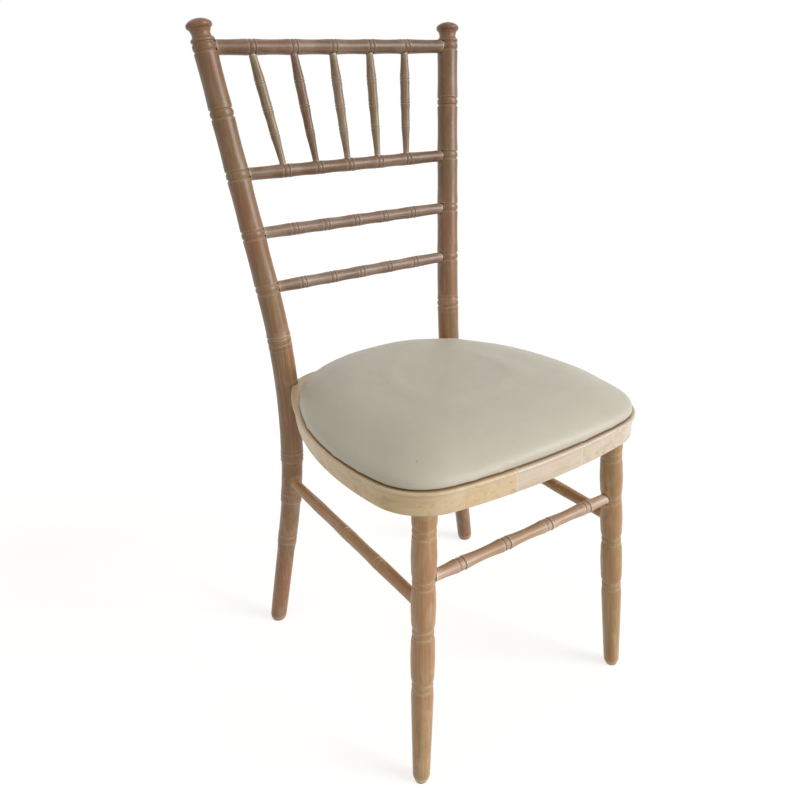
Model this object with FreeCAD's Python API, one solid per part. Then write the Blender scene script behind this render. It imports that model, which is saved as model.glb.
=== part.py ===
import FreeCAD, Part
import math
import os

os.makedirs("parts", exist_ok=True)
V = FreeCAD.Vector

# Banquet chair with turned bamboo-style posts, legs and spindles and a lift-off seat pad.
# Millimetres. The floor is z = 0, the chair faces -Y and x = 0 is its middle plane.

# Fits
TENON_GAP = 0.1          # round tenon in its socket, on the radius
PIECE_GAP = 0.3          # pieces that are laid in or lifted out, at every side

# Rear posts: two straight stretches joined by a long bend beside the seat
FINIAL_MID = V(195.5, 224.4, 912.0)
BEND_AT = V(139.5, 155.0, 374.7)     # where the two straight stretches would meet
REAR_FOOT = V(204.0, 187.0, 0.0)
BEND_REACH = 194.0       # from BEND_AT to either end of the bent stretch
FINIAL_TOP = 8.0         # finial middle to its crown
# ring heights and lip radii, from the seat up on the back and from the seat down on the leg
BACK_RINGS = [(498.4, 17.7), (574.6, 17.1), (651.1, 16.7), (730.3, 16.3), (808.0, 15.9), (887.0, 15.6)]
LEG_RINGS = [(311.0, 17.8), (238.6, 16.8), (162.1, 15.5)]
BEND_BODY_R = [16.8, 17.2, 16.3, 15.3]   # bent stretches between the rings, top to bottom
REAR_R_LOW = 14.1
REAR_R_FOOT = 13.3

# Front legs
FRONT_FOOT = V(180.5, -213.0, 0.0)
FRONT_LEAN = V(-28.1, 18.9, 400.0)
FRONT_RING_Z = [152.3, 230.8, 299.7, 367.2]
FRONT_RING_R = [13.5, 13.5, 13.9, 14.4]
FRONT_BODY_R = [14.1, 15.3, 15.3, 15.5, 15.2]
FRONT_FOOT_R = 11.3
LEG_TENON_R = 9.0
LEG_TENON_COVER = 8.5    # wood left above the tenon

# Turned rings
RING_HALF = 6.5          # ring middle to the lip of the next stretch
GROOVE_AT = 4.9
GROOVE_DEPTH = 1.3
BEAD_HALF = 3.4
FLARE = 7.0              # a bent stretch widens to the lip over this length
FLARE_EDGE = 0.2         # step where the flare starts

# Back rails and spindles
TOP_RAIL_R = 9.4
GALLERY_RAIL_R = 8.7
MID_RAIL_R = 8.4
RAIL_TENON_R = 5.5
RAIL_TENON_IN = 9.5      # tenon length inside a post
SPINDLES = 5
# the five rings of a rail: distance between them and place of the middle one
TOP_ROW = (60.8, -8.9)
GALLERY_ROW = (51.1, -4.7)
MID_ROW = (50.5, -5.6)
LOW_ROW = (49.2, -6.8)
RAIL_SWELL = 0.7         # extra radius at the lips of a rail's rings
RAIL_RING_SCALE = 0.8    # rings of thin members, as a share of a post's rings
SPINDLE_END_R = (4.6, 5.2)             # at the gallery rail and at the top rail
SPINDLE_RINGS = [(0.305, 6.7), (0.52, 7.3), (0.745, 7.3)]   # share of the length, lip radius
SPINDLE_BODY_R = [5.1, 6.4, 6.8, 5.9]  # between end, rings and end
SPINDLE_RING_SCALE = 0.45
SPINDLE_TENON_R = 3.3
SPINDLE_TENON_IN = 5.5

# Stretchers
FRONT_STRETCHER_Z = 301.5
FRONT_STRETCHER_R = 7.6
FRONT_STRETCHER_SWELL = 1.4
FRONT_STRETCHER_RING_SCALE = 0.85
FRONT_STRETCHER_PITCH = 71.0
SIDE_STRETCHER_FRONT_Z = 265.9
SIDE_STRETCHER_REAR_Z = 265.5
SIDE_STRETCHER_R = 8.4
SIDE_STRETCHER_SWELL = 0.5
SIDE_STRETCHER_RING_SCALE = 0.75
STRETCHER_TENON_R = 5.0
STRETCHER_TENON_IN = 8.5

# Seat frame: outline of its upright face, one half
SEAT_BOTTOM = 400.0
SEAT_TOP = 431.0
LEG_TENON_LENGTH = SEAT_TOP - SEAT_BOTTOM - LEG_TENON_COVER
SEAT_FRONT_Y = -237.3
SEAT_REAR_Y = 186.2
FRONT_CORNER = V(123.0, -151.0, 0)
FRONT_CORNER_R = 77.0
REAR_CORNER = V(87.0, 110.5, 0)
REAR_CORNER_R = 72.5
SIDE_ARC_R = 482.0
FRAME_WIDTH = 46.0
RIM_OUT = 3.3            # the bead stands out of the face by this much
RIM_HEIGHT = 4.6
QUIRK_HEIGHT = 1.0
QUIRK_DEPTH = 0.8
FRONT_SEAM_X = 52.0      # glued joints between the frame pieces
SIDE_SEAM_Y = -60.0
REAR_SEAM_Y = 100.0

# Seat panel and its screws
PANEL_THICK = 6.0
LEDGE_WIDTH = 12.0
PANEL_SCREW_R = 1.75
PANEL_SCREW_HEAD_R = 3.5
PANEL_SCREW_LENGTH = 18.0
POST_SCREW_R = 2.6
POST_SCREW_HEAD_R = 5.0
POST_SCREW_IN_POST = 12.0
POST_SCREW_Z = 413.0

# Seat pad
PAD_REAR_CORNER = V(102.0, 94.5, 0)
PAD_REAR_CORNER_R = 56.5
PAD_SIDE_ARC_R = 376.0
PAD_INSET = 0.7          # pad edge behind the face of the frame
PAD_MIDDLE_Y = -31.0
PAD_REACH = 200.0        # pad middle to its edge, used to shrink the outline
# height above the underside and distance in from the edge, bottom to crown
PAD_ROWS = [(0.0, 3.2), (2.6, 0.9), (6.4, 0.0), (10.4, 1.1), (14.8, 4.6), (19.0, 10.8),
            (23.8, 22.6), (28.8, 39.0), (33.4, 58.0), (36.9, 81.0), (39.4, 107.0), (41.0, 135.0)]
COVER_THICK = 1.2
COVER_WRAP = 30.0        # how far the cover is folded under the board
BOARD_INSET = 9.0
BOARD_THICK = 5.0
STAPLES = 26
STAPLE_WIDTH = 10.0
STAPLE_WIRE = 0.6
STAPLE_LEG = 5.0
TAPE_THICK = 0.6
TAPE_LENGTH = 60.0
TAPE_WIDTH = 25.0
TAPE_FRONT = V(85.0, -120.0, 0)     # middles of the tapes on the right
TAPE_REAR = V(70.0, 75.0, 0)


def save(name, shape):
    shape.exportStep("parts/" + name + ".step")


def mirrored(shape):
    return shape.mirror(V(0, 0, 0), V(1, 0, 0))


def one_solid(shape):
    return max(shape.Solids, key=lambda s: s.Volume)


def placed(shape, base, direction):
    """Moves a shape made along +Z from the origin so that it starts at base and runs along direction."""
    out = shape.copy()
    out.Placement = FreeCAD.Placement(base, FreeCAD.Rotation(V(0, 0, 1), direction))
    return out


def rod(base, direction, radius, start, end):
    """Cylinder on the line from base along direction, between two distances."""
    cylinder = Part.makeCylinder(radius, end - start, V(0, 0, start))
    return placed(cylinder, base, direction)


def turned(start_s, start_r, steps):
    """Turned solid about +Z. Steps are (r, s) for a line and (r_mid, s_mid, r, s) for an arc."""
    here = V(start_r, 0, start_s)
    edges = [Part.makeLine(V(0, 0, start_s), here)]
    for step in steps:
        there = V(step[-2], 0, step[-1])
        if len(step) == 2:
            edges.append(Part.makeLine(here, there))
        else:
            edges.append(Part.Arc(here, V(step[0], 0, step[1]), there).toShape())
        here = there
    if here.x > 1e-6:
        edges.append(Part.makeLine(here, V(0, 0, here.z)))
    edges.append(Part.makeLine(V(0, 0, here.z), V(0, 0, start_s)))
    face = Part.Face(Part.Wire(edges))
    return one_solid(face.revolve(V(0, 0, 0), V(0, 0, 1), 360))


def ring(s, bead, lip, scale=1.0):
    """Bead between two grooves; the profile arrives at and leaves with the lip radius."""
    groove = GROOVE_DEPTH * scale
    step = 0.25 * scale
    return [(bead - groove, s - GROOVE_AT * scale, bead - step, s - BEAD_HALF * scale),
            (bead + step, s, bead - step, s + BEAD_HALF * scale),
            (bead - groove, s + GROOVE_AT * scale, lip, s + RING_HALF * scale)]


def waist(from_s, to_s, mid_r, lip_r):
    """Stretch between two rings, slightly thinner or thicker in its middle."""
    return [(mid_r, (from_s + to_s) / 2, lip_r, to_s)]


def barrel(from_s, from_r, to_s, to_r, body):
    """Stretch that swells quickly behind each ring to a nearly even body."""
    shoulder = 13.0
    knee = body - 0.5
    return [(from_r + 0.75 * (knee - from_r), from_s + 0.4 * shoulder, knee, from_s + shoulder),
            (body, (from_s + to_s) / 2, knee, to_s - shoulder),
            (to_r + 0.75 * (knee - to_r), to_s - 0.4 * shoulder, to_r, to_s)]


def ringed_rod(start_s, end_s, centres, body, swell, scale):
    """Even rod with small bamboo rings; swell is the extra radius at every lip."""
    lip = body + swell
    bead = body + 0.6 * swell
    steps = []
    s = start_s
    for c in centres:
        before = c - RING_HALF * scale
        steps += waist(s, before, body - 0.1, lip)
        steps += ring(c, bead, lip, scale)
        s = c + RING_HALF * scale
    steps += waist(s, end_s, body - 0.1, body)
    return turned(start_s, body, steps)


# Rear posts

def along_line(a, b, z):
    """Point of the line through a and b at height z."""
    t = (z - a.z) / (b.z - a.z)
    return a + (b - a) * t


def front_axis(z):
    return FRONT_FOOT + FRONT_LEAN * (z / FRONT_LEAN.z)


UP = (FINIAL_MID - BEND_AT).normalize()
DOWN = (REAR_FOOT - BEND_AT).normalize()
NORMAL = UP.cross(DOWN).normalize()
BEND_TOP = BEND_AT + UP * BEND_REACH
BEND_LOW = BEND_AT + DOWN * BEND_REACH
BEND_HALF = UP.getAngle(DOWN) / 2
BEND_CENTRE = BEND_AT + (UP + DOWN).normalize() * (BEND_REACH / math.cos(BEND_HALF))
BEND_TURN = 180.0 - 2 * math.degrees(BEND_HALF)


def on_bend(turn):
    """Centre of the bent stretch after turn degrees down from its upper end."""
    return BEND_CENTRE + FreeCAD.Rotation(NORMAL, -turn).multVec(BEND_TOP - BEND_CENTRE)


def bend_turn(z):
    """Degrees from the upper end of the bend to height z."""
    low, high = 0.0, BEND_TURN
    for _ in range(40):
        middle = (low + high) / 2
        if on_bend(middle).z > z:
            low = middle
        else:
            high = middle
    return low


def post_at(z):
    """Centre of the right post at height z and its direction there, upward."""
    if z >= BEND_TOP.z:
        return along_line(BEND_AT, FINIAL_MID, z), UP
    if z <= BEND_LOW.z:
        return along_line(BEND_AT, REAR_FOOT, z), DOWN * -1
    turn = bend_turn(z)
    return on_bend(turn), FreeCAD.Rotation(NORMAL, -turn).multVec(UP)


def bent_rod(radius, from_z, to_z):
    """Even round rod that follows the bend down from one height to another."""
    centre, direction = post_at(from_z)
    disc = Part.Face(Part.Wire(Part.makeCircle(radius, centre, direction)))
    return one_solid(disc.revolve(BEND_CENTRE, NORMAL, bend_turn(from_z) - bend_turn(to_z)))


def seat_stretch():
    """The stretch of the post that passes the seat frame."""
    return bent_rod(BEND_BODY_R[1], BACK_RINGS[0][0] - RING_HALF - 1, LEG_RINGS[0][0] + RING_HALF + 1)


def collar(z, lip, above, below):
    """Ring of the bent stretch at height z, flared out of the rods above and below it."""
    flare = RING_HALF + FLARE
    mid = RING_HALF + FLARE / 2
    start, end = below + FLARE_EDGE, above + FLARE_EDGE
    steps = [(start + 0.25 * (lip - start), -mid, lip, -RING_HALF)]
    steps += ring(0.0, lip - 0.2, lip)
    steps += [(end + 0.25 * (lip - end), mid, end, flare)]
    centre, direction = post_at(z)
    return placed(turned(-flare, start, steps), centre, direction)


def upper_post():
    """Straight back stretch with its rings and finial, along the line up from the bend."""
    steps = []
    s = BEND_REACH
    for z, lip in BACK_RINGS[1:]:
        c = (post_at(z)[0] - BEND_AT).Length
        steps += waist(s, c - RING_HALF, lip - 0.45, lip)
        steps += ring(c, lip - 0.2, lip)
        s = c + RING_HALF
    # collar, neck and domed disc of the finial
    m = (FINIAL_MID - BEND_AT).Length
    neck = 12.6
    steps += [(15.6, s + 2.2, 14.4, s + 4.0), (neck + 0.3, s + 4.8)]
    steps += [(neck - 0.3, m - 9.4, 13.4, m - 6.0), (14.8, m - 3.6, 16.3, m - 2.6)]
    steps += [(17.0, m, 16.0, m + 2.8), (11.2, m + 6.0, 3.0, m + FINIAL_TOP - 0.25)]
    steps += [(0.0, m + FINIAL_TOP)]
    solid = turned(BEND_REACH, BEND_BODY_R[0], steps)
    return placed(solid, BEND_AT, UP)


def lower_post():
    """Straight rear leg stretch, along the line down from the bend, cut level at the floor."""
    z, lip = LEG_RINGS[2]
    c = (post_at(z)[0] - BEND_AT).Length
    steps = waist(BEND_REACH, c - RING_HALF, BEND_BODY_R[3] - 0.2, lip)
    steps += ring(c, lip - 0.2, lip)
    s = c + RING_HALF
    end = (REAR_FOOT - BEND_AT).Length + 3.0
    steps += [(REAR_R_LOW + 0.2, s + 14, REAR_R_LOW, s + 30)]
    steps += [(REAR_R_LOW - 0.2, (s + end) / 2, REAR_R_FOOT, end - 14)]
    steps += [(REAR_R_FOOT - 0.9, end - 6.5, REAR_R_FOOT - 3.2, end - 1.5)]
    steps += [(REAR_R_FOOT - 3.8, end + 3.0)]
    solid = turned(BEND_REACH, BEND_BODY_R[3], steps)
    return placed(solid, BEND_AT, DOWN)


def below_floor():
    return Part.makeBox(600, 600, 40, V(-100, -300, -40))


def post_blank():
    """Whole right post before its sockets are made."""
    rings = [BACK_RINGS[0]] + LEG_RINGS[:2]
    inside = RING_HALF + 1
    tops = [BEND_TOP.z] + [z - inside for z, lip in rings]
    ends = [z + inside for z, lip in rings] + [BEND_LOW.z]
    parts = [bent_rod(radius, top, end) for radius, top, end in zip(BEND_BODY_R, tops, ends)]
    for i, (z, lip) in enumerate(rings):
        parts.append(collar(z, lip, BEND_BODY_R[i], BEND_BODY_R[i + 1]))
    shape = upper_post().fuse(parts + [lower_post()])
    return one_solid(shape.removeSplitter().cut(below_floor()))


# Rails, spindles and stretchers. Each is made on the +X side or whole; ends are tenons.

def joined_rod(body, a, b, tenon_r, tenon_in, end_a, end_b):
    """Body between points a and b on two turned members. Each end is hollowed to the member,
    end = (solid of the member, its radius), and carries a round tenon."""
    direction = b - a
    shape = one_solid(placed(body, a, direction).cut(end_a[0]).cut(end_b[0]))
    overlap = 6.0
    for point, run, radius in ((a, direction, end_a[1]), (b, direction * -1, end_b[1])):
        shape = shape.fuse(rod(point, run, tenon_r, radius - tenon_in, radius + overlap))
    return one_solid(shape.removeSplitter())


def member(point, axis, radius):
    """The turned member that a rod meets at point, as an end for joined_rod."""
    return rod(point, axis, radius, -40, 40), radius


def socket(a, b, tenon_r, tenon_in, radius):
    """Room for the tenon at the end a of the rod from a to b."""
    return rod(a, b - a, tenon_r + TENON_GAP, radius - tenon_in - TENON_GAP, radius + 4.0)


def ring_row(count, pitch, middle):
    return [middle + (i - (count - 1) / 2) * pitch for i in range(count)]


def back_rail(ring_of_post, radius, row):
    """Ringed rail between the posts at one of their rings, with its socket for the right post."""
    z, post_r = ring_of_post
    pitch, middle = row
    right = post_at(z)[0]
    left = V(-right.x, right.y, right.z)
    length = right.x - left.x
    rings = ring_row(SPINDLES, pitch, length / 2 + middle)
    body = ringed_rod(post_r - 6, length - post_r + 6, rings, radius,
                      RAIL_SWELL, RAIL_RING_SCALE)
    mirror_up = V(-UP.x, UP.y, UP.z)
    rail = joined_rod(body, left, right, RAIL_TENON_R, RAIL_TENON_IN,
                      member(left, mirror_up, post_r), member(right, UP, post_r))
    hole = socket(right, left, RAIL_TENON_R, RAIL_TENON_IN, post_r)
    return rail, hole


def spindle_axis(index):
    """Ends of one spindle: middle of the gallery rail and of the top rail."""
    k = index - (SPINDLES - 1) / 2
    low = post_at(BACK_RINGS[3][0])[0]
    high = post_at(BACK_RINGS[5][0])[0]
    return (V(GALLERY_ROW[1] + k * GALLERY_ROW[0], low.y, low.z),
            V(TOP_ROW[1] + k * TOP_ROW[0], high.y, high.z))


def spindle(index):
    a, b = spindle_axis(index)
    start = GALLERY_RAIL_R - 3
    end = (b - a).Length - TOP_RAIL_R + 3
    half = RING_HALF * SPINDLE_RING_SCALE
    steps = []
    s = start
    for (share, lip), body in zip(SPINDLE_RINGS, SPINDLE_BODY_R):
        c = start + share * (end - start)
        steps += waist(s, c - half, body, lip)
        steps += ring(c, lip - 0.1, lip, SPINDLE_RING_SCALE)
        s = c + half
    steps += waist(s, end, SPINDLE_BODY_R[-1], SPINDLE_END_R[1])
    body = turned(start, SPINDLE_END_R[0], steps)
    across = V(1, 0, 0)
    return joined_rod(body, a, b, SPINDLE_TENON_R, SPINDLE_TENON_IN,
                      member(a, across, GALLERY_RAIL_R + RAIL_SWELL),
                      member(b, across, TOP_RAIL_R + RAIL_SWELL))


def spindle_sockets(index):
    a, b = spindle_axis(index)
    low = socket(a, b, SPINDLE_TENON_R, SPINDLE_TENON_IN, GALLERY_RAIL_R + RAIL_SWELL)
    high = socket(b, a, SPINDLE_TENON_R, SPINDLE_TENON_IN, TOP_RAIL_R + RAIL_SWELL)
    return low, high


def front_leg():
    """Right front leg with its round tenon; the shoulder is level under the seat frame."""
    direction = FRONT_LEAN
    scale = FRONT_LEAN.Length / FRONT_LEAN.z
    rings = [z * scale for z in FRONT_RING_Z]
    top = SEAT_BOTTOM * scale
    sole = -4.0
    steps = [(FRONT_FOOT_R - 2.6, 1.5), (FRONT_FOOT_R - 0.8, 5.5, FRONT_FOOT_R, 12.0)]
    s = rings[0] - RING_HALF
    lip = FRONT_RING_R[0]
    steps += [(FRONT_BODY_R[0] - 1.2, 75.0, FRONT_BODY_R[0], s - 18)]
    steps += [(FRONT_BODY_R[0] + 0.1, s - 8, lip, s)]
    for i, c in enumerate(rings):
        lip = FRONT_RING_R[i]
        steps += ring(c, lip - 0.1, lip)
        s = c + RING_HALF
        if i + 1 < len(rings):
            after = rings[i + 1] - RING_HALF
            steps += barrel(s, lip, after, FRONT_RING_R[i + 1], FRONT_BODY_R[i + 1])
    body = FRONT_BODY_R[-1]
    steps += [(body, s + 9, body - 1.2, top - 5), (body - 1.6, top + 8)]
    leg = placed(turned(sole, FRONT_FOOT_R - 3.4, steps), FRONT_FOOT, direction)
    leg = leg.cut(below_floor()).cut(Part.makeBox(400, 400, 60, V(0, -350, SEAT_BOTTOM)))
    tenon = rod(FRONT_FOOT, direction, LEG_TENON_R, top - 12, top + LEG_TENON_LENGTH)
    return one_solid(one_solid(leg).fuse(tenon).removeSplitter())


def leg_socket():
    top = SEAT_BOTTOM * FRONT_LEAN.Length / FRONT_LEAN.z
    return rod(FRONT_FOOT, FRONT_LEAN, LEG_TENON_R + TENON_GAP, top - 8, top + LEG_TENON_LENGTH + 0.5)


def front_stretcher():
    right = front_axis(FRONT_STRETCHER_Z)
    left = V(-right.x, right.y, right.z)
    length = (right - left).Length
    rings = ring_row(4, FRONT_STRETCHER_PITCH, length / 2)
    reach = FRONT_BODY_R[3]
    body = ringed_rod(reach - 6, length - reach + 6, rings, FRONT_STRETCHER_R,
                      FRONT_STRETCHER_SWELL, FRONT_STRETCHER_RING_SCALE)
    mirror_lean = V(-FRONT_LEAN.x, FRONT_LEAN.y, FRONT_LEAN.z)
    rail = joined_rod(body, left, right, STRETCHER_TENON_R, STRETCHER_TENON_IN,
                      member(left, mirror_lean, reach), member(right, FRONT_LEAN, reach))
    return rail, socket(right, left, STRETCHER_TENON_R, STRETCHER_TENON_IN, reach)


def side_stretcher():
    a = front_axis(SIDE_STRETCHER_FRONT_Z)
    b = post_at(SIDE_STRETCHER_REAR_Z)[0]
    length = (b - a).Length
    reach_a = FRONT_BODY_R[2]
    reach_b = BEND_BODY_R[2]
    rings = [length * share for share in (0.27, 0.5, 0.73)]
    body = ringed_rod(reach_a - 6, length - reach_b + 6, rings, SIDE_STRETCHER_R,
                      SIDE_STRETCHER_SWELL, SIDE_STRETCHER_RING_SCALE)
    post_part = bent_rod(reach_b, SIDE_STRETCHER_REAR_Z + 20, SIDE_STRETCHER_REAR_Z - 20)
    rail = joined_rod(body, a, b, STRETCHER_TENON_R, STRETCHER_TENON_IN,
                      member(a, FRONT_LEAN, reach_a), (post_part, reach_b))
    hole_a = socket(a, b, STRETCHER_TENON_R, STRETCHER_TENON_IN, reach_a)
    hole_b = socket(b, a, STRETCHER_TENON_R, STRETCHER_TENON_IN, reach_b)
    return rail, hole_a, hole_b


# Seat frame

def outline_arcs(rear_corner, rear_r, side_r):
    """Centre, radius and angles of the five arcs of the right half, front middle to rear middle."""
    dy = FRONT_CORNER.y - SEAT_FRONT_Y
    front_r = (FRONT_CORNER.x ** 2 + dy ** 2 - FRONT_CORNER_R ** 2) / (2 * (dy - FRONT_CORNER_R))
    dz = SEAT_REAR_Y - rear_corner.y
    back_r = (rear_corner.x ** 2 + dz ** 2 - rear_r ** 2) / (2 * (dz - rear_r))
    front_c = V(0, SEAT_FRONT_Y + front_r, 0)
    back_c = V(0, SEAT_REAR_Y - back_r, 0)
    apart = rear_corner - FRONT_CORNER
    d = apart.Length
    a = side_r - FRONT_CORNER_R
    b = side_r - rear_r
    along = (a * a - b * b + d * d) / (2 * d)
    off = math.sqrt(a * a - along * along)
    u = V(apart).normalize()
    side_c = FRONT_CORNER + u * along - V(u.y, -u.x, 0) * off

    def heading(p, q):
        return math.atan2(q.y - p.y, q.x - p.x)

    h = [-math.pi / 2, heading(front_c, FRONT_CORNER), heading(side_c, FRONT_CORNER),
         heading(side_c, rear_corner), heading(back_c, rear_corner), math.pi / 2]
    return [(front_c, front_r, h[0], h[1]), (FRONT_CORNER, FRONT_CORNER_R, h[1], h[2]),
            (side_c, side_r, h[2], h[3]), (rear_corner, rear_r, h[3], h[4]),
            (back_c, back_r, h[4], h[5])]


FRAME_ARCS = outline_arcs(REAR_CORNER, REAR_CORNER_R, SIDE_ARC_R)
PAD_ARCS = outline_arcs(PAD_REAR_CORNER, PAD_REAR_CORNER_R, PAD_SIDE_ARC_R)


def arc_point(arc, share, inset):
    centre, radius, start, end = arc
    angle = start + (end - start) * share
    return centre + V(math.cos(angle), math.sin(angle), 0) * (radius - inset)


def outline_wire(arcs, inset, z, scale=1.0):
    """Closed outline, set in from the face, at height z; scale shrinks it about the pad middle."""
    middle = V(0, PAD_MIDDLE_Y, 0)

    def at(point, side):
        p = V(point.x * side, point.y, 0)
        return middle + (p - middle) * scale + V(0, 0, z)

    edges = []
    for side, order in ((1, arcs), (-1, arcs[::-1])):
        for arc in order:
            shares = (0.0, 0.5, 1.0) if side == 1 else (1.0, 0.5, 0.0)
            p = [at(arc_point(arc, share, inset), side) for share in shares]
            edges.append(Part.Arc(p[0], p[1], p[2]).toShape())
    return Part.Wire(edges)


def outline_slab(arcs, inset, bottom, top):
    return Part.Face(outline_wire(arcs, inset, bottom)).extrude(V(0, 0, top - bottom))


def screw_line():
    """Start point on the inner side of the frame and direction of the right post screw."""
    start = V(REAR_CORNER.x, REAR_CORNER.y, POST_SCREW_Z)
    centre = post_at(POST_SCREW_Z)[0]
    run = V(centre.x - start.x, centre.y - start.y, 0)
    return start, run, run.Length


def post_screw(extra=0.0):
    """Countersunk screw through the frame into the post; extra makes the room for it."""
    start, run, reach = screw_line()
    head = REAR_CORNER_R - FRAME_WIDTH + 0.6
    tip = reach - BEND_BODY_R[1] + POST_SCREW_IN_POST
    r = POST_SCREW_R + extra
    head_r = POST_SCREW_HEAD_R + extra
    steps = [(r, head + 3.4), (r, tip - 4.0), (0.0, tip + extra)]
    if extra:
        steps = [(head_r, head)] + steps
        return placed(turned(head - 6.0, head_r, steps), start, run)
    return placed(turned(head, head_r, steps), start, run)


def frame_blank():
    """Whole seat frame before it is divided: face, bead, quirk, opening and rebate."""
    rim_bottom = SEAT_TOP - RIM_HEIGHT
    body = outline_slab(FRAME_ARCS, 0, SEAT_BOTTOM, rim_bottom - QUIRK_HEIGHT)
    low_edges = [e for e in body.Edges if abs(e.CenterOfMass.z - SEAT_BOTTOM) < 0.01]
    body = body.makeFillet(2.0, low_edges)
    neck = outline_slab(FRAME_ARCS, QUIRK_DEPTH, rim_bottom - QUIRK_HEIGHT, rim_bottom)
    rim = outline_slab(FRAME_ARCS, -RIM_OUT, rim_bottom, SEAT_TOP)
    rim_edges = [e for e in rim.Edges if abs(e.CenterOfMass.z - rim_bottom) < 0.01
                 or abs(e.CenterOfMass.z - SEAT_TOP) < 0.01]
    rim = rim.makeFillet(RIM_HEIGHT / 2 - 0.15, rim_edges)
    blank = body.fuse(neck).fuse(rim)
    blank = blank.cut(outline_slab(FRAME_ARCS, FRAME_WIDTH, SEAT_BOTTOM - 5, SEAT_TOP + 5))
    ledge = FRAME_WIDTH - LEDGE_WIDTH
    blank = blank.cut(outline_slab(FRAME_ARCS, ledge, SEAT_TOP - PANEL_THICK, SEAT_TOP + 5))
    for tool in (seat_stretch(), leg_socket(), post_screw(TENON_GAP)):
        blank = blank.cut(tool).cut(mirrored(tool))
    for tool in panel_screws(TENON_GAP):
        blank = blank.cut(tool)
    return one_solid(blank)


def frame_pieces(blank):
    """The six glued lengths of the frame."""
    big = 400.0
    depth = SEAT_TOP - SEAT_BOTTOM + 20
    low = SEAT_BOTTOM - 10

    def box(x0, x1, y0, y1):
        return one_solid(blank.common(Part.makeBox(x1 - x0, y1 - y0, depth, V(x0, y0, low))))

    return {"frame_front": box(-FRONT_SEAM_X, FRONT_SEAM_X, -big, SIDE_SEAM_Y),
            "frame_corner_right": box(FRONT_SEAM_X, big, -big, SIDE_SEAM_Y),
            "frame_corner_left": box(-big, -FRONT_SEAM_X, -big, SIDE_SEAM_Y),
            "frame_side_right": box(0, big, SIDE_SEAM_Y, REAR_SEAM_Y),
            "frame_side_left": box(-big, 0, SIDE_SEAM_Y, REAR_SEAM_Y),
            "frame_rear": box(-big, big, REAR_SEAM_Y, big)}


def screw_places():
    inset = FRAME_WIDTH - LEDGE_WIDTH / 2
    spots = [arc_point(FRAME_ARCS[0], 0.62, inset), arc_point(FRAME_ARCS[2], 0.18, inset),
             arc_point(FRAME_ARCS[2], 0.82, inset), arc_point(FRAME_ARCS[4], 0.45, inset)]
    return spots + [V(-p.x, p.y, 0) for p in spots]


def panel_screws(extra=0.0):
    """Countersunk screws that hold the panel on the ledge; extra makes the room for them."""
    r = PANEL_SCREW_R + extra
    head_r = PANEL_SCREW_HEAD_R + extra
    length = PANEL_SCREW_LENGTH + extra
    out = []
    for spot in screw_places():
        steps = [(r, 2.4), (r, length - 3.0), (0.0, length)]
        if extra:
            screw = turned(-4.0, head_r, [(head_r, 0.0)] + steps)
        else:
            screw = turned(0.0, head_r, steps)
        out.append(placed(screw, V(spot.x, spot.y, SEAT_TOP), V(0, 0, -1)))
    return out


def seat_panel():
    ledge = FRAME_WIDTH - LEDGE_WIDTH
    panel = outline_slab(FRAME_ARCS, ledge + PIECE_GAP, SEAT_TOP - PANEL_THICK, SEAT_TOP)
    for tool in panel_screws(TENON_GAP):
        panel = panel.cut(tool)
    return one_solid(panel)


# Seat pad

PAD_BASE = SEAT_TOP + PIECE_GAP


def cushion(skin):
    """Crowned cushion form with drawn-in sides, made smaller all round by skin."""
    wires = []
    for height, inset in PAD_ROWS:
        z = PAD_BASE + height
        z = z + skin if height == 0.0 else z
        if height > 14.0:
            z -= skin * min(1.0, (height - 10.0) / 8.0)
        side = skin * max(0.0, 1.0 - inset / 40.0)
        scale = 1.0 - (inset + side) / PAD_REACH
        wires.append(outline_wire(PAD_ARCS, PAD_INSET, z, scale))
    return one_solid(Part.makeLoft(wires, True, False))


def pad_board():
    scale = 1.0 - BOARD_INSET / PAD_REACH
    bottom = PAD_BASE + COVER_THICK
    wire = outline_wire(PAD_ARCS, PAD_INSET, bottom, scale)
    return Part.Face(wire).extrude(V(0, 0, BOARD_THICK))


def pad_opening():
    scale = 1.0 - COVER_WRAP / PAD_REACH
    wire = outline_wire(PAD_ARCS, PAD_INSET, PAD_BASE - 1, scale)
    return Part.Face(wire).extrude(V(0, 0, COVER_THICK + 1))


def staples():
    """Wire staples that hold the folded cover to the board, pressed level with the cover."""
    inset = (BOARD_INSET + COVER_WRAP) / 2 + 2
    scale = 1.0 - inset / PAD_REACH
    wire = outline_wire(PAD_ARCS, PAD_INSET, PAD_BASE + 0.2, scale)
    points = wire.discretize(STAPLES + 1)[:-1]
    out = []
    for i, p in enumerate(points):
        run = points[(i + 1) % len(points)] - points[i - 1]
        turn = math.degrees(math.atan2(run.y, run.x))
        w = STAPLE_WIRE
        crown = Part.makeBox(STAPLE_WIDTH, w, w, V(-STAPLE_WIDTH / 2, -w / 2, 0))
        leg = Part.makeBox(w, w, STAPLE_LEG, V(-STAPLE_WIDTH / 2, -w / 2, 0))
        other = leg.translated(V(STAPLE_WIDTH - w, 0, 0))
        staple = crown.fuse(leg).fuse(other).removeSplitter()
        staple.Placement = FreeCAD.Placement(p, FreeCAD.Rotation(V(0, 0, 1), turn))
        out.append(one_solid(staple))
    return out


def tapes(z):
    """Four strips of hook or loop tape at height z."""
    out = []
    for middle in (TAPE_FRONT, TAPE_REAR):
        corner = middle + V(-TAPE_LENGTH / 2, -TAPE_WIDTH / 2, z)
        tape = Part.makeBox(TAPE_LENGTH, TAPE_WIDTH, TAPE_THICK, corner)
        out += [tape, mirrored(tape)]
    return out


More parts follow.
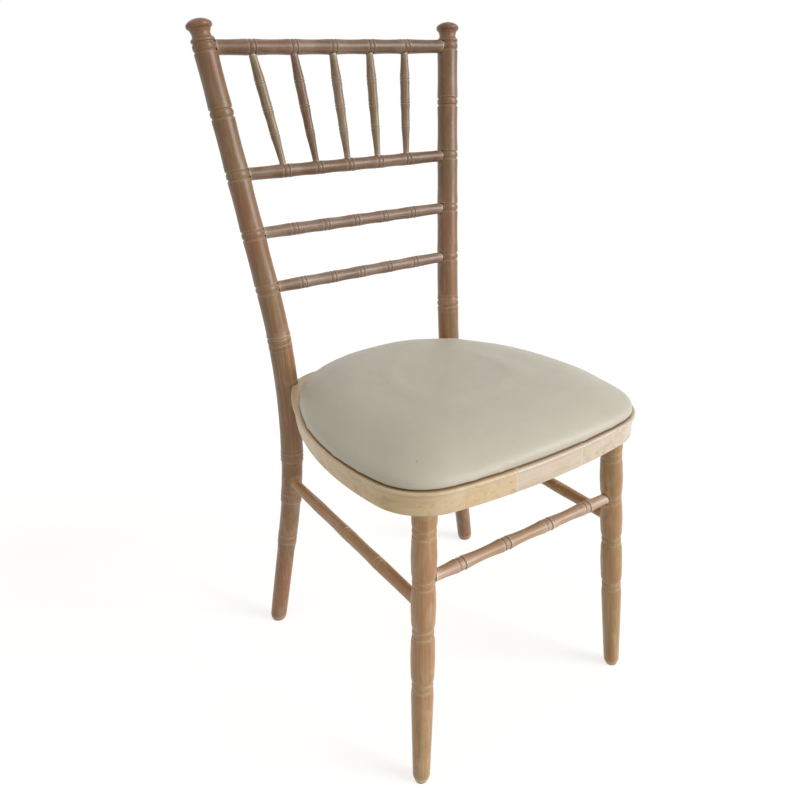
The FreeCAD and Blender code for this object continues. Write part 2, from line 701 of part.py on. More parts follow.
def build():
    rails = {"top_rail": (BACK_RINGS[5], TOP_RAIL_R, TOP_ROW),
             "gallery_rail": (BACK_RINGS[3], GALLERY_RAIL_R, GALLERY_ROW),
             "mid_rail_upper": (BACK_RINGS[2], MID_RAIL_R, MID_ROW),
             "mid_rail_lower": (BACK_RINGS[1], MID_RAIL_R, LOW_ROW)}
    post = post_blank()
    made = {}
    for name, (ring_of_post, radius, row) in rails.items():
        made[name], hole = back_rail(ring_of_post, radius, row)
        post = post.cut(hole)
    for i in range(SPINDLES):
        save("spindle_%d" % (i + 1), spindle(i))
        low, high = spindle_sockets(i)
        made["gallery_rail"] = made["gallery_rail"].cut(low)
        made["top_rail"] = made["top_rail"].cut(high)
    for name, rail in made.items():
        save(name, one_solid(rail))

    leg = front_leg()
    stretcher, hole = front_stretcher()
    leg = leg.cut(hole)
    save("front_stretcher", stretcher)
    side, hole_front, hole_rear = side_stretcher()
    leg = one_solid(leg.cut(hole_front))
    post = one_solid(post.cut(hole_rear).cut(post_screw(TENON_GAP)))
    for name, shape in (("side_stretcher", side), ("front_leg", leg), ("rear_post", post)):
        save(name + "_right", shape)
        save(name + "_left", mirrored(shape))

    for name, piece in frame_pieces(frame_blank()).items():
        save(name, piece)
    save("seat_panel", seat_panel())
    save("panel_screws", Part.makeCompound(panel_screws()))
    screw = post_screw()
    save("post_screws", Part.makeCompound([screw, mirrored(screw)]))

    outer = cushion(0.0)
    inner = cushion(COVER_THICK)
    board = pad_board()
    fasteners = staples()
    cover = outer.cut(inner).cut(pad_opening())
    foam = one_solid(inner.cut(board))
    for tool in fasteners:
        cover = cover.cut(tool)
        board = board.cut(tool)
    save("pad_cover", one_solid(cover))
    save("pad_foam", foam)
    save("pad_board", one_solid(board))
    save("pad_staples", Part.makeCompound(fasteners))
    save("hook_tapes", Part.makeCompound(tapes(SEAT_TOP)))
    save("loop_tapes", Part.makeCompound(tapes(PAD_BASE + COVER_THICK - TAPE_THICK)))


build()
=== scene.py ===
import math
import bpy
import numpy as np
from mathutils import Matrix, Vector, noise
from mathutils.bvhtree import BVHTree


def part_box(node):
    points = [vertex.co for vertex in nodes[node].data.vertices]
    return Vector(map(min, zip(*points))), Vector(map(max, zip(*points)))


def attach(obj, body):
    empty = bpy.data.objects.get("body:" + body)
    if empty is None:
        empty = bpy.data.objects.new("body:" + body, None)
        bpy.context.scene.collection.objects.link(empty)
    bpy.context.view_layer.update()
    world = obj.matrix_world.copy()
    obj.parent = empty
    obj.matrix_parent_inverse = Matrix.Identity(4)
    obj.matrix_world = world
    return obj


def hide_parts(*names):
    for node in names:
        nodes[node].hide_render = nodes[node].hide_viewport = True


# Banquet chair in limewashed beech with an ivory seat pad. Metres, +Z up, the seat faces -Y.
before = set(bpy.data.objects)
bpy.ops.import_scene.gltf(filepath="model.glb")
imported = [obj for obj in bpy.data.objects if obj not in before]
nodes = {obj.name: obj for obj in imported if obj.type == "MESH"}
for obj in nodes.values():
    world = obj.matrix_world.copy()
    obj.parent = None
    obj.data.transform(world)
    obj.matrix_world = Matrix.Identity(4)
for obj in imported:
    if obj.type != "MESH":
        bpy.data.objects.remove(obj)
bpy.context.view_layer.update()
scene = bpy.context.scene

# Camera: eye, direction, roll and focal length, as found for an image of 800 by 800
IMAGE = 800
EYE = Vector((-0.5398, -0.7619, 0.8324))
AZIMUTH = math.radians(-32.35)
ELEVATION = math.radians(23.73)
ROLL = math.radians(-2.09)
FOCAL_PIXELS = 711.7
SENSOR = 36.0

# Light: a broad soft key from the front right, a weak fill from the left and an even sky
SKY_LEVEL = 0.42
SKY_COLOUR = (1.0, 0.978, 0.915, 1)
KEY_POWER = 2.1
KEY_FROM = (0.80, -1.0, 0.40)
KEY_COLOUR = (0.965, 0.98, 1.0)
KEY_SPREAD = 34          # degrees
FILL_POWER = 0.18
FILL_FROM = (-1.0, -0.35, 0.9)
FILL_COLOUR = (1.0, 0.93, 0.84)
FILL_SPREAD = 60
FLOOR_SIZE = 60.0
FLOOR_TONE = 0.62        # share of light that the floor gives back
FLOOR_GLOW = 0.66        # lifts the floor to white where no shadow falls


# Colours

def srgb(r, g, b):
    """Linear colour from the 0 to 255 values that a screen shows."""
    out = []
    for v in (r, g, b):
        c = v / 255.0
        out.append(c / 12.92 if c <= 0.04045 else ((c + 0.055) / 1.055) ** 2.4)
    return (out[0], out[1], out[2], 1.0)


def shaded(colour, share):
    return tuple(c * share for c in colour[:3]) + (1.0,)


# Node helpers

class Graph:
    """The node tree of a material or world, emptied, and short ways to add nodes to it."""

    def __init__(self, owner):
        owner.use_nodes = True
        self.owner = owner
        self.tree = owner.node_tree
        self.tree.nodes.clear()

    def add(self, kind, **settings):
        node = self.tree.nodes.new("ShaderNode" + kind)
        for key, value in settings.items():
            setattr(node, key, value)
        return node

    def put(self, socket, value):
        if isinstance(value, bpy.types.NodeSocket):
            self.tree.links.new(value, socket)
        elif value is not None:
            socket.default_value = value

    def math(self, operation, a, b=0.0, clamp=False):
        node = self.add("Math", operation=operation, use_clamp=clamp)
        self.put(node.inputs[0], a)
        self.put(node.inputs[1], b)
        return node.outputs[0]

    def scaled(self, vector, scale):
        node = self.add("VectorMath", operation="MULTIPLY")
        self.put(node.inputs[0], vector)
        node.inputs[1].default_value = scale
        return node.outputs[0]

    def noise(self, vector, scale, detail=2.0, rough=0.5, distortion=0.0):
        node = self.add("TexNoise")
        self.put(node.inputs["Vector"], vector)
        node.inputs["Scale"].default_value = scale
        node.inputs["Detail"].default_value = detail
        node.inputs["Roughness"].default_value = rough
        node.inputs["Distortion"].default_value = distortion
        return node.outputs["Fac"]

    def remap(self, value, low, high, to_low=0.0, to_high=1.0, smooth=False):
        node = self.add("MapRange", interpolation_type="SMOOTHSTEP" if smooth else "LINEAR")
        self.put(node.inputs[0], value)
        for socket, v in zip(node.inputs[1:5], (low, high, to_low, to_high)):
            socket.default_value = v
        return node.outputs[0]

    def blend(self, fac, a, b):
        node = self.add("Mix", data_type="RGBA")
        self.put(node.inputs[0], fac)
        self.put(node.inputs[6], a)
        self.put(node.inputs[7], b)
        return node.outputs[2]

    def tint(self, fac, colour, shade):
        node = self.add("Mix", data_type="RGBA", blend_type="MULTIPLY")
        self.put(node.inputs[0], fac)
        self.put(node.inputs[6], colour)
        self.put(node.inputs[7], shade)
        return node.outputs[2]

    def height(self):
        """Height of the shaded point in its piece's own frame, in metres."""
        node = self.add("SeparateXYZ")
        self.put(node.inputs[0], self.add("TexCoord").outputs["Object"])
        return node.outputs["Z"]

    def occlusion(self, distance, inside=False, samples=6):
        node = self.add("AmbientOcclusion", inside=inside, samples=samples)
        node.inputs["Distance"].default_value = distance
        return node.outputs["AO"]

    def bump(self, height, distance, strength=1.0, normal=None):
        node = self.add("Bump")
        node.inputs["Distance"].default_value = distance
        node.inputs["Strength"].default_value = strength
        self.put(node.inputs["Height"], height)
        self.put(node.inputs["Normal"], normal)
        return node.outputs[0]

    def surface(self, colour, roughness, normal=None, **sockets):
        shader = self.add("BsdfPrincipled")
        self.put(shader.inputs["Base Color"], colour)
        self.put(shader.inputs["Roughness"], roughness)
        self.put(shader.inputs["Normal"], normal)
        for name, value in sockets.items():
            shader.inputs[name.replace("_", " ")].default_value = value
        out = self.add("OutputMaterial")
        self.tree.links.new(shader.outputs[0], out.inputs[0])
        return self.owner


def material_graph(name):
    return Graph(bpy.data.materials.new(name))


def assign(node_name, material):
    for slot in nodes[node_name].material_slots:
        slot.material = material


# Wood

GROOVE_REACH = 0.005     # how near surfaces lie in a groove, for its painted shade
RING_REACH = 0.012       # and beside a ring or a joint, for the wash with a painted highlight there
EDGE_REACH = 0.0024      # how thin the wood is at a raised edge
DARK_GRAIN = 0.60        # share of the first hue in dark grain
GROOVE_SHADE = 0.45       # share of that in the painted shade of a groove


def mesh_points(node_name):
    mesh = nodes[node_name].data
    co = np.zeros(len(mesh.vertices) * 3, np.float32)
    mesh.vertices.foreach_get("co", co)
    return co.reshape(-1, 3).astype(float)


def long_axis(points):
    """Middle of the points and the direction in which they spread most, turned upward."""
    middle = (points.max(0) + points.min(0)) / 2
    spread = points - points.mean(0)
    direction = np.linalg.eigh(spread.T @ spread)[1][:, -1]
    if direction[2] < 0:
        direction = -direction
    return Vector(middle), Vector(direction)


def along_grain(graph, middle, direction, shift):
    """Coordinates in which Z runs with the grain, shifted so that no two pieces match."""
    position = graph.add("TexCoord").outputs["Object"]
    turn = direction.rotation_difference(Vector((0, 0, 1)))
    mapping = graph.add("Mapping")
    graph.put(mapping.inputs["Vector"], position)
    mapping.inputs["Rotation"].default_value = turn.to_euler("XYZ")
    mapping.inputs["Location"].default_value = shift - (turn @ middle)
    return mapping.outputs[0]


def wood_shader(graph, grain, tone, band=None):
    """Limed beech: two hues in soft patches, grain streaks, pores, wash on edges, wash with a
    painted highlight beside rings and joints, painted shade in grooves. A band paints shade: it
    deepens the colour step by step from its lower height to its upper one and stays so above; a
    band with a gap does so only where another surface is that near."""
    one, two, wash, wash_level = tone
    dark = shaded(one, DARK_GRAIN)
    patch = graph.noise(graph.scaled(grain, (26, 26, 11)), 1.0, 3, 0.55, 0.5)
    streak = graph.noise(graph.scaled(grain, (120, 120, 6)), 1.0, 4, 0.6, 0.5)
    fine = graph.noise(graph.scaled(grain, (520, 520, 16)), 1.0, 3, 0.6, 0.2)
    pores = graph.noise(graph.scaled(grain, (1700, 1700, 90)), 1.0, 2, 0.5)
    cloud = graph.noise(graph.scaled(grain, (44, 44, 24)), 1.0, 3, 0.5, 0.3)

    colour = graph.blend(graph.remap(patch, 0.40, 0.60, smooth=True), one, two)
    colour = graph.blend(graph.remap(streak, 0.50, 0.72, 0.0, 0.50, smooth=True), colour, dark)
    limed = graph.remap(streak, 0.48, 0.30, 0.0, wash_level, smooth=True)
    colour = graph.blend(limed, colour, wash)
    colour = graph.blend(graph.remap(fine, 0.52, 0.72, 0.0, 0.30), colour, dark)
    colour = graph.blend(graph.remap(fine, 0.46, 0.28, 0.0, 0.35), colour, wash)
    colour = graph.blend(graph.remap(pores, 0.62, 0.70, 0.0, 0.34, smooth=True), colour, dark)
    clouded = graph.remap(cloud, 0.50, 0.72, 0.0, wash_level, smooth=True)
    colour = graph.blend(clouded, colour, wash)

    # lime wash with a painted highlight beside rings and joints, where surfaces lie near
    beside = graph.remap(graph.occlusion(RING_REACH), 0.96, 0.82, 0.0, 0.50)
    colour = graph.blend(beside, colour, wash)
    # painted shade in grooves and where pieces meet, found by occlusion
    hollow = graph.remap(graph.occlusion(GROOVE_REACH), 0.45, 0.92, 1.0, 0.0)
    groove_shade = shaded(dark, GROOVE_SHADE)
    colour = graph.blend(graph.math("MULTIPLY", hollow, 0.62), colour, groove_shade)
    edge = graph.remap(graph.occlusion(EDGE_REACH, inside=True), 0.96, 0.68, 0.0, 1.0)
    edge = graph.math("MULTIPLY", edge, graph.remap(cloud, 0.30, 0.65, 0.45, 0.90))
    colour = graph.blend(edge, colour, wash)
    if band:
        low, high, shade, gap = band
        share = graph.remap(graph.height(), low, high)
        if gap:
            near = graph.remap(graph.occlusion(gap), 0.40, 0.66, 1.0, 0.0)
            share = graph.math("MULTIPLY", share, near)
        colour = graph.tint(share, colour, shade)

    rough = graph.remap(streak, 0.3, 0.7, 0.34, 0.46)
    height = graph.math("ADD", graph.math("MULTIPLY", fine, 0.6),
                        graph.math("MULTIPLY", pores, 0.5))
    normal = graph.bump(height, 0.0003, 0.5)
    return graph.surface(colour, rough, normal, Specular_IOR_Level=0.45,
                         Coat_Weight=0.16, Coat_Roughness=0.22)


def wood(name, tone, middle, direction, seed, band=None):
    graph = material_graph("wood_" + name)
    shift = Vector((0.71 * seed, 1.37 * seed, 0.53 * seed))
    grain = along_grain(graph, middle, direction, shift)
    return wood_shader(graph, grain, tone, band)


# Tones: two hues, the wash's colour, how strongly the wash covers
POST = (srgb(147, 115, 78), srgb(156, 109, 76), srgb(208, 180, 152), 0.24)
RAIL = (srgb(112, 84, 56), srgb(120, 82, 58), srgb(180, 156, 132), 0.26)
MID_RAIL = (srgb(130, 104, 80), srgb(136, 102, 82), srgb(190, 170, 153), 0.30)
SPINDLE_OLIVE = (srgb(140, 116, 84), srgb(132, 104, 78), srgb(190, 172, 146), 0.30)
SPINDLE_RED = (srgb(118, 84, 58), srgb(114, 76, 56), srgb(172, 148, 126), 0.22)
LEG = (srgb(180, 142, 92), srgb(186, 138, 95), srgb(222, 196, 160), 0.28)
STRETCHER = (srgb(188, 152, 118), srgb(194, 156, 128), srgb(230, 208, 188), 0.34)
SEAT_RAIL = (srgb(230, 200, 150), srgb(234, 203, 162), srgb(238, 220, 194), 0.40)
SEAT_FRONT = (srgb(226, 206, 178), srgb(230, 209, 185), srgb(238, 226, 210), 0.45)
PLY = (srgb(206, 180, 138), srgb(214, 186, 144), srgb(232, 216, 188), 0.20)

TONES = {
    "rear_post_left": POST, "rear_post_right": POST,
    "top_rail": RAIL, "gallery_rail": RAIL, "mid_rail_upper": MID_RAIL, "mid_rail_lower": MID_RAIL,
    "spindle_1": SPINDLE_OLIVE, "spindle_2": SPINDLE_RED, "spindle_3": SPINDLE_OLIVE,
    "spindle_4": SPINDLE_OLIVE, "spindle_5": SPINDLE_OLIVE,
    "front_leg_left": LEG, "front_leg_right": LEG,
    "front_stretcher": STRETCHER, "side_stretcher_left": LEG, "side_stretcher_right": LEG,
    "frame_front": SEAT_FRONT, "frame_corner_left": SEAT_RAIL, "frame_corner_right": SEAT_FRONT,
    "frame_side_left": SEAT_RAIL, "frame_side_right": SEAT_RAIL, "frame_rear": SEAT_RAIL,
    "seat_panel": PLY, "pad_board": PLY,
}

# Bands of painted shade: from which height, to which height, the shade, and how near to another
# surface
POST_SHADE_BAND = (0.36, 0.90, (0.62, 0.53, 0.44, 1), None)        # painted shade: posts darken toward the finials
RIM_SHADE_BAND = (0.4285, 0.4300, (0.86, 0.66, 0.52, 1), 0.005)    # painted shade: a reddish line along the pad where it lies near the frame
BANDS = {"rear_post_left": POST_SHADE_BAND, "rear_post_right": POST_SHADE_BAND,
         "frame_front": RIM_SHADE_BAND, "frame_corner_left": RIM_SHADE_BAND, "frame_corner_right": RIM_SHADE_BAND,
         "frame_side_left": RIM_SHADE_BAND, "frame_side_right": RIM_SHADE_BAND, "frame_rear": RIM_SHADE_BAND}


def dress_wood():
    for seed, (name, tone) in enumerate(TONES.items(), 1):
        middle, direction = long_axis(mesh_points(name))
        assign(name, wood(name, tone, middle, direction, seed, BANDS.get(name)))


# Seat pad: a cover pulled over foam, stapled under its board
# Heights below are above the underside of the CAD cover, unless they say otherwise.

PROFILE_STEPS = 64       # points in each profile read from the CAD cover
DIRECTIONS = 144         # profiles all round
CAST_HEIGHT = 0.010      # the profiles are cast from this height
CAST_FLOOR = 0.0016      # and end at this one
LOWEST_DIP = math.radians(115.0)

COVER_GRID = 76          # quads across the top and sides of the cover
COVER_THICK = 0.0012     # from the inner face, which the rays meet, to the outer one
FOLD = (0.0012, 0.0007)  # inset and height of the fold at the lower edge
HEM_RAISE = 0.0004       # height of the hem, so that the staples show
HEM_WIDTH = 0.030        # cover folded under the board
HEM_INSETS = (0.004, 0.012, 0.021, HEM_WIDTH)
HEM_TUCK = 0.0003        # the hem's end turns up to the board

SWELL = 0.0034           # furthest that the cover may move in the simulation
EVEN_OUT = 60            # rounds in which the swelling is spread over the foam
HELD_HEIGHT = 0.0022     # the hem is held up to this height
CLOTH_QUALITY = 8
PRESSURE = 4.0
LAST_FRAME = 20

FADE_FROM, FADE_OVER = 0.004, 0.012          # the worn-in shape sets in from and over this
WAVES = ((21.0, 0.0006), (55.0, 0.00025))    # unevenness: waves per metre and their depth
REAR_FROM, REAR_OVER = -0.06, 0.16           # Y from and over which the foam gets fuller
REAR_LIFT = 0.0024
REAR_WIDER = 0.008
EDGE_START = 0.0012      # the lower edge is made fuller from this height
EDGE_HEIGHT = 0.0064     # up to this one
EDGE_FULLER = 0.0017

IVORY = (srgb(211, 203, 186), srgb(215, 208, 192))
IVORY_MOTTLE = srgb(200, 192, 174)
IVORY_PIT_SHADE = srgb(188, 179, 160)
IVORY_WORN = srgb(176, 166, 146)
SPECK = srgb(96, 84, 68)
LOW_EDGE_SHADE = srgb(176, 134, 106)
LOW_EDGE_SHADE_LEVELS = (0.4326, 0.4342)    # above the floor: full painted shade below, none from the second up


def cover_profiles():
    """Outer face of the CAD cover: points from its crown to its lower edge in all directions."""
    mesh = nodes["pad_cover"].data
    faces = [p.vertices[:] for p in mesh.polygons]
    tree = BVHTree.FromPolygons([v.co for v in mesh.vertices], faces)
    low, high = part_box("pad_cover")
    centre = Vector((0.0, (low.y + high.y) / 2, low.z + CAST_HEIGHT))
    half = ((high.x - low.x) / 2, (high.y - low.y) / 2, high.z - centre.z)
    floor = low.z + CAST_FLOOR
    table = []
    for i in range(DIRECTIONS):
        turn = 2 * math.pi * i / DIRECTIONS
        line = []
        for j in range(PROFILE_STEPS * 2):
            dip = LOWEST_DIP * j / (PROFILE_STEPS * 2 - 1)
            ray = Vector((math.cos(turn) * math.sin(dip) * half[0],
                          math.sin(turn) * math.sin(dip) * half[1], math.cos(dip) * half[2]))
            hit, normal = tree.ray_cast(centre, ray.normalized())[:2]
            if hit is None or hit.z < floor:
                break
            line.append(hit + normal * math.copysign(COVER_THICK, normal.dot(ray)))
        table.append(even_points(line, PROFILE_STEPS))
    return np.array(table), low.z


def even_points(line, count):
    """Points at even distances along a line of points."""
    points = np.array([tuple(p) for p in line])
    steps = np.linalg.norm(np.diff(points, axis=0), axis=1)
    run = np.concatenate([[0.0], np.cumsum(steps)])
    at = np.linspace(0.0, run[-1], count)
    return np.stack([np.interp(at, run, points[:, k]) for k in range(3)], 1)


def on_cover(table, turn, share):
    """Point of the cover in direction turn, share 0 at the crown and 1 at the lower edge."""
    i = (turn / (2 * math.pi) * DIRECTIONS) % DIRECTIONS
    j = min(share, 1.0) * (PROFILE_STEPS - 1)
    i0, j0 = int(i), min(int(j), PROFILE_STEPS - 2)
    i1 = (i0 + 1) % DIRECTIONS
    a = table[i0, j0] * (1 - j + j0) + table[i0, j0 + 1] * (j - j0)
    b = table[i1, j0] * (1 - j + j0) + table[i1, j0 + 1] * (j - j0)
    return a * (1 - i + i0) + b * (i - i0)


def grid_place(u, v):
    """Direction and share for a place on a square from -1 to 1, spread evenly over a round form."""
    x = u * math.sqrt(1 - v * v / 2)
    y = v * math.sqrt(1 - u * u / 2)
    return math.atan2(y, x), math.hypot(x, y)


def cover_mesh():
    """Cover as one skin: crown and sides as a grid, then the hem folded under the board."""
    table, base = cover_profiles()
    n = COVER_GRID
    verts = []
    for j in range(n + 1):
        for i in range(n + 1):
            turn, share = grid_place(2 * i / n - 1, 2 * j / n - 1)
            verts.append(on_cover(table, turn, share))
    faces = [(a, a + 1, a + n + 2, a + n + 1)
             for j in range(n) for a in range(j * (n + 1), j * (n + 1) + n)]
    rim = (list(range(n)) + [n + j * (n + 1) for j in range(n)]
           + [n * (n + 1) + n - i for i in range(n)] + [(n - j) * (n + 1) for j in range(n)])
    low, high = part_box("pad_cover")
    middle = np.array([0.0, (low.y + high.y) / 2, 0.0])
    edge = [verts[k] for k in rim]
    loop = rim
    hem = [(FOLD[0], base + FOLD[1])] + [(inset, base + HEM_RAISE) for inset in HEM_INSETS]
    hem.append((HEM_WIDTH + HEM_TUCK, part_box("pad_board")[0].z))
    for inset, z in hem:
        start = len(verts)
        for p in edge:
            out = (p - middle) * (1, 1, 0)
            p = middle + out * (1 - inset / np.linalg.norm(out))
            verts.append(np.array([p[0], p[1], z]))
        new = list(range(start, start + len(rim)))
        for k in range(len(rim)):
            m = (k + 1) % len(rim)
            faces.append((loop[m], loop[k], new[k], new[m]))
        loop = new
    mesh = bpy.data.meshes.new("pad_upholstery")
    mesh.from_pydata([tuple(v) for v in verts], [], faces)
    mesh.update()
    return mesh, base


def spread_evenly(move, mesh, held):
    """Movement averaged with its neighbours: firm foam under the cover lets no wrinkle stay."""
    ends = np.array([e.vertices[:] for e in mesh.edges])
    count = np.bincount(ends.ravel(), minlength=len(move))[:, None]
    for _ in range(EVEN_OUT):
        total = np.zeros_like(move)
        np.add.at(total, ends[:, 0], move[ends[:, 1]])
        np.add.at(total, ends[:, 1], move[ends[:, 0]])
        move = (move + total / count) / 2
        move[held] = 0.0
    return move


def inflate(obj, base):
    """Lets the cover swell over the foam as cloth under slight pressure, its hem held."""
    group = obj.vertex_groups.new(name="held")
    held = [v.index for v in obj.data.vertices if v.co.z < base + HELD_HEIGHT]
    group.add(held, 1.0, "REPLACE")
    before = np.array([v.co[:] for v in obj.data.vertices])
    cloth = obj.modifiers.new("cloth", "CLOTH")
    settings = cloth.settings
    settings.quality = CLOTH_QUALITY
    settings.use_pressure = True
    settings.uniform_pressure_force = PRESSURE
    settings.vertex_group_mass = "held"
    settings.effector_weights.gravity = 0.0
    for frame_number in range(1, LAST_FRAME + 1):
        scene.frame_set(frame_number)
    shape = obj.evaluated_get(bpy.context.evaluated_depsgraph_get())
    after = np.array([v.co[:] for v in shape.data.vertices])
    obj.modifiers.remove(cloth)
    scene.frame_set(1)
    move = spread_evenly(after - before, obj.data, held)
    length = np.maximum(np.linalg.norm(move, axis=1, keepdims=True), 1e-9)
    capped = before + move * (SWELL * np.tanh(length / SWELL) / length)
    obj.data.vertices.foreach_set("co", capped.astype(np.float32).ravel())
    obj.data.update()


def soften(obj, base):
    """Worn-in shape of the cover: fuller at its lower edge and toward the back, and uneven."""
    for v in obj.data.vertices:
        fade = min(max((v.co.z - base - FADE_FROM) / FADE_OVER, 0.0), 1.0)
        wave = sum(noise.noise(v.co * often) * depth for often, depth in WAVES)
        rear = min(max((v.co.y - REAR_FROM) / REAR_OVER, 0.0), 1.0)
        v.co.x *= 1.0 + REAR_WIDER * rear * fade
        v.co.z += (wave + REAR_LIFT * rear * rear * (3 - 2 * rear)) * fade
        low = min(max(1.0 - (v.co.z - base) / EDGE_HEIGHT, 0.0), 1.0)
        reach = math.hypot(v.co.x, v.co.y)
        if low > 0.0 and v.co.z > base + EDGE_START:
            v.co.x += v.co.x / reach * EDGE_FULLER * low
            v.co.y += v.co.y / reach * EDGE_FULLER * low


def pad_cloth():
    """Ivory coated cloth: pebbled grain with painted shade in its pits, soft clouds, faint marks,
    few specks, painted shade along the low edge.
    """
    graph = material_graph("ivory_coated_cloth")
    position = graph.add("TexCoord").outputs["Object"]
    cloud = graph.noise(position, 9.0, 3, 0.5, 0.3)
    mottle = graph.noise(position, 90.0, 3, 0.6)
    grain = graph.add("TexVoronoi", feature="SMOOTH_F1")
    graph.put(grain.inputs["Vector"], position)
    grain.inputs["Scale"].default_value = 1300.0
    weave = graph.noise(position, 2600.0, 2, 0.5)
    colour = graph.blend(graph.remap(cloud, 0.30, 0.70, smooth=True), *IVORY)
    colour = graph.blend(graph.remap(mottle, 0.45, 0.75, 0.0, 0.18), colour, IVORY_MOTTLE)
    # painted shade in the pits of the pebbled grain
    shade = graph.remap(grain.outputs["Distance"], 0.0, 0.55, 0.18, 0.0)
    colour = graph.blend(shade, colour, IVORY_PIT_SHADE)
    marks = graph.noise(graph.scaled(position, (1.0, 3.4, 1.0)), 26.0, 5, 0.65, 1.2)
    worn = graph.remap(marks, 0.68, 0.78, 0.0, 0.10, smooth=True)
    colour = graph.blend(worn, colour, IVORY_WORN)
    speck = graph.add("TexVoronoi", feature="F1")
    graph.put(speck.inputs["Vector"], position)
    speck.inputs["Scale"].default_value = 26.0
    dot = graph.remap(speck.outputs["Distance"], 0.026, 0.034, 1.0, 0.0)
    rare = graph.remap(graph.noise(position, 17.0, 0, 0.5), 0.62, 0.65)
    dot = graph.math("MULTIPLY", graph.math("MULTIPLY", dot, rare), 0.6)
    colour = graph.blend(dot, colour, SPECK)
    # painted shade on the cover's low edge, next to the frame
    low_edge = graph.remap(graph.height(), *LOW_EDGE_SHADE_LEVELS, 1.0, 0.0)
    facing = graph.add("SeparateXYZ")
    graph.put(facing.inputs[0], graph.add("NewGeometry").outputs["Normal"])
    low_edge = graph.math("MULTIPLY", low_edge, graph.remap(facing.outputs["Z"], -0.9, -0.5))
    colour = graph.blend(low_edge, colour, LOW_EDGE_SHADE)
    height = graph.math("ADD", grain.outputs["Distance"], graph.math("MULTIPLY", weave, 0.4))
    normal = graph.bump(height, 0.00022, 0.45, graph.bump(mottle, 0.0005, 0.3))
    rough = graph.remap(mottle, 0.3, 0.7, 0.40, 0.50)
    return graph.surface(colour, rough, normal, Specular_IOR_Level=0.45,
                         Sheen_Weight=0.12, Sheen_Roughness=0.4)


def make_pad():
    mesh, base = cover_mesh()
    pad = bpy.data.objects.new("pad_upholstery", mesh)
    scene.collection.objects.link(pad)
    inflate(pad, base)
    soften(pad, base)
    for face in mesh.polygons:
        face.use_smooth = True
    finer = pad.modifiers.new("finer", "SUBSURF")
    finer.levels = 1
    finer.render_levels = 1
    mesh.materials.append(pad_cloth())
    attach(pad, "seat_pad")
    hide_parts("pad_cover", "pad_foam")


# Small hidden parts

ZINC = (srgb(150, 152, 156), srgb(196, 197, 198))
HOOK_GREY = srgb(52, 52, 54)
LOOP_GREY = srgb(62, 62, 64)
PILE_HIGHLIGHT = 1.6         # painted highlight: the pile's tips against its ground
HOOKS_PER_METRE = 1100.0
LOOPS_PER_METRE = 700.0


def steel():
    graph = material_graph("zinc_steel")
    position = graph.add("TexCoord").outputs["Object"]
    spangle = graph.noise(position, 900.0, 3, 0.6)
    colour = graph.blend(spangle, *ZINC)
    normal = graph.bump(spangle, 0.0001, 0.4)
    return graph.surface(colour, graph.remap(spangle, 0.3, 0.7, 0.28, 0.5), normal, Metallic=1.0)


def tape(name, base, pile):
    graph = material_graph(name)
    position = graph.add("TexCoord").outputs["Object"]
    loops = graph.add("TexVoronoi", feature="F1")
    graph.put(loops.inputs["Vector"], position)
    loops.inputs["Scale"].default_value = pile
    height = loops.outputs["Distance"]
    # painted highlight on the pile's tips, lighter than the ground between them
    colour = graph.blend(graph.remap(height, 0.0, 0.6), shaded(base, PILE_HIGHLIGHT), base)
    return graph.surface(colour, 0.85, graph.bump(height, 0.0006, 0.8))


def dress_small():
    metal = steel()
    for name in ("panel_screws", "post_screws", "pad_staples"):
        assign(name, metal)
    assign("hook_tapes", tape("hook_tape", HOOK_GREY, HOOKS_PER_METRE))
    assign("loop_tapes", tape("loop_tape", LOOP_GREY, LOOPS_PER_METRE))


# Stage, light and camera

def aim(obj, from_direction):
    obj.rotation_euler = Vector(from_direction).to_track_quat("Z", "Y").to_euler()


def sun(name, power, from_direction, colour, spread):
    data = bpy.data.lights.new(name, "SUN")
    data.energy = power
    data.color = colour
    data.angle = math.radians(spread)
    obj = bpy.data.objects.new(name, data)
    scene.collection.objects.link(obj)
    aim(obj, from_direction)


def seen_directly(graph):
    """1 for what the camera, a mirror or glass shows, 0 for the light that falls on things."""
    path = graph.add("LightPath")
    seen = graph.math("ADD", path.outputs["Is Camera Ray"], path.outputs["Is Glossy Ray"])
    return graph.math("ADD", seen, path.outputs["Is Transmission Ray"], clamp=True)


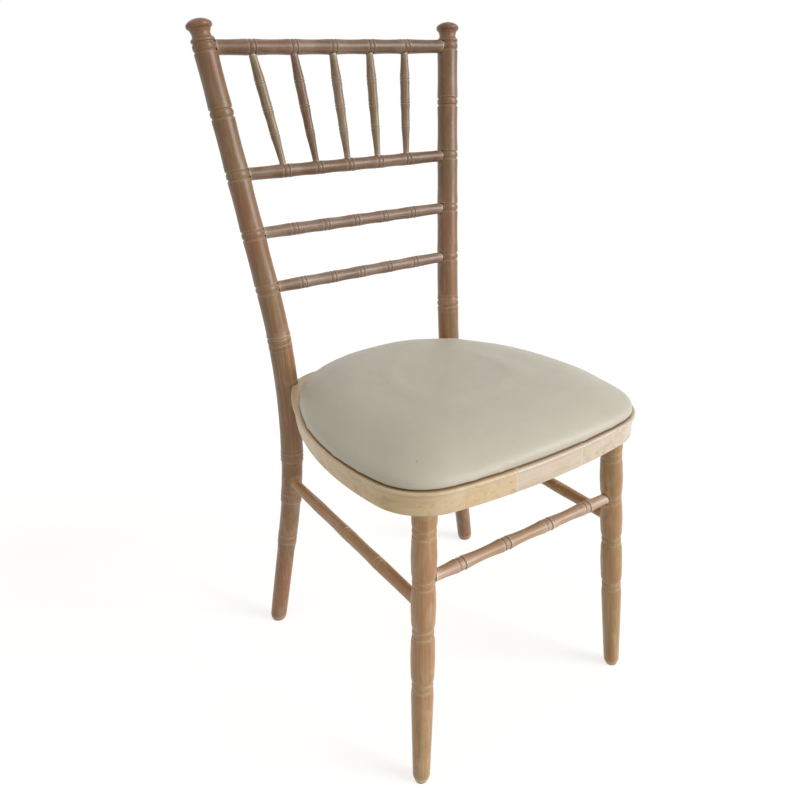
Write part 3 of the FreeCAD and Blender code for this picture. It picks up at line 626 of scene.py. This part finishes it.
def make_world():
    world = bpy.data.worlds.new("studio")
    scene.world = world
    graph = Graph(world)
    background = graph.add("Background")
    seen = seen_directly(graph)
    graph.put(background.inputs["Color"], graph.blend(seen, SKY_COLOUR, (1, 1, 1, 1)))
    graph.put(background.inputs["Strength"], graph.remap(seen, 0, 1, SKY_LEVEL, 1.0))
    out = graph.add("OutputWorld")
    graph.tree.links.new(background.outputs[0], out.inputs[0])


def make_floor():
    bpy.ops.mesh.primitive_plane_add(size=FLOOR_SIZE, location=(0, 0, 0))
    floor = bpy.context.active_object
    floor.name = "floor"
    graph = material_graph("floor")
    diffuse = graph.add("BsdfDiffuse")
    diffuse.inputs["Color"].default_value = (FLOOR_TONE, FLOOR_TONE, FLOOR_TONE, 1)
    glow = graph.add("Emission")
    glow.inputs["Color"].default_value = (1, 1, 1, 1)
    graph.put(glow.inputs["Strength"], graph.math("MULTIPLY", seen_directly(graph), FLOOR_GLOW))
    both = graph.add("AddShader")
    graph.tree.links.new(diffuse.outputs[0], both.inputs[0])
    graph.tree.links.new(glow.outputs[0], both.inputs[1])
    out = graph.add("OutputMaterial")
    graph.tree.links.new(both.outputs[0], out.inputs[0])
    floor.data.materials.append(graph.owner)


def make_camera():
    back = Vector((math.sin(AZIMUTH) * math.cos(ELEVATION),
                   -math.cos(AZIMUTH) * math.cos(ELEVATION), math.sin(ELEVATION)))
    right = (-back).cross(Vector((0, 0, 1))).normalized()
    up = right.cross(-back)
    right_rolled = right * math.cos(ROLL) + up * math.sin(ROLL)
    up_rolled = up * math.cos(ROLL) - right * math.sin(ROLL)
    data = bpy.data.cameras.new("camera")
    data.sensor_width = SENSOR
    data.sensor_fit = "HORIZONTAL"
    data.lens = SENSOR * FOCAL_PIXELS / IMAGE
    data.clip_end = 200.0
    camera = bpy.data.objects.new("camera", data)
    turn = Matrix((right_rolled, up_rolled, back)).transposed()
    camera.matrix_world = Matrix.Translation(EYE) @ turn.to_4x4()
    scene.collection.objects.link(camera)
    scene.camera = camera


scene.view_settings.view_transform = "Standard"
make_world()
sun("key", KEY_POWER, KEY_FROM, KEY_COLOUR, KEY_SPREAD)
sun("fill", FILL_POWER, FILL_FROM, FILL_COLOUR, FILL_SPREAD)
make_floor()
make_camera()
dress_wood()
dress_small()
make_pad()
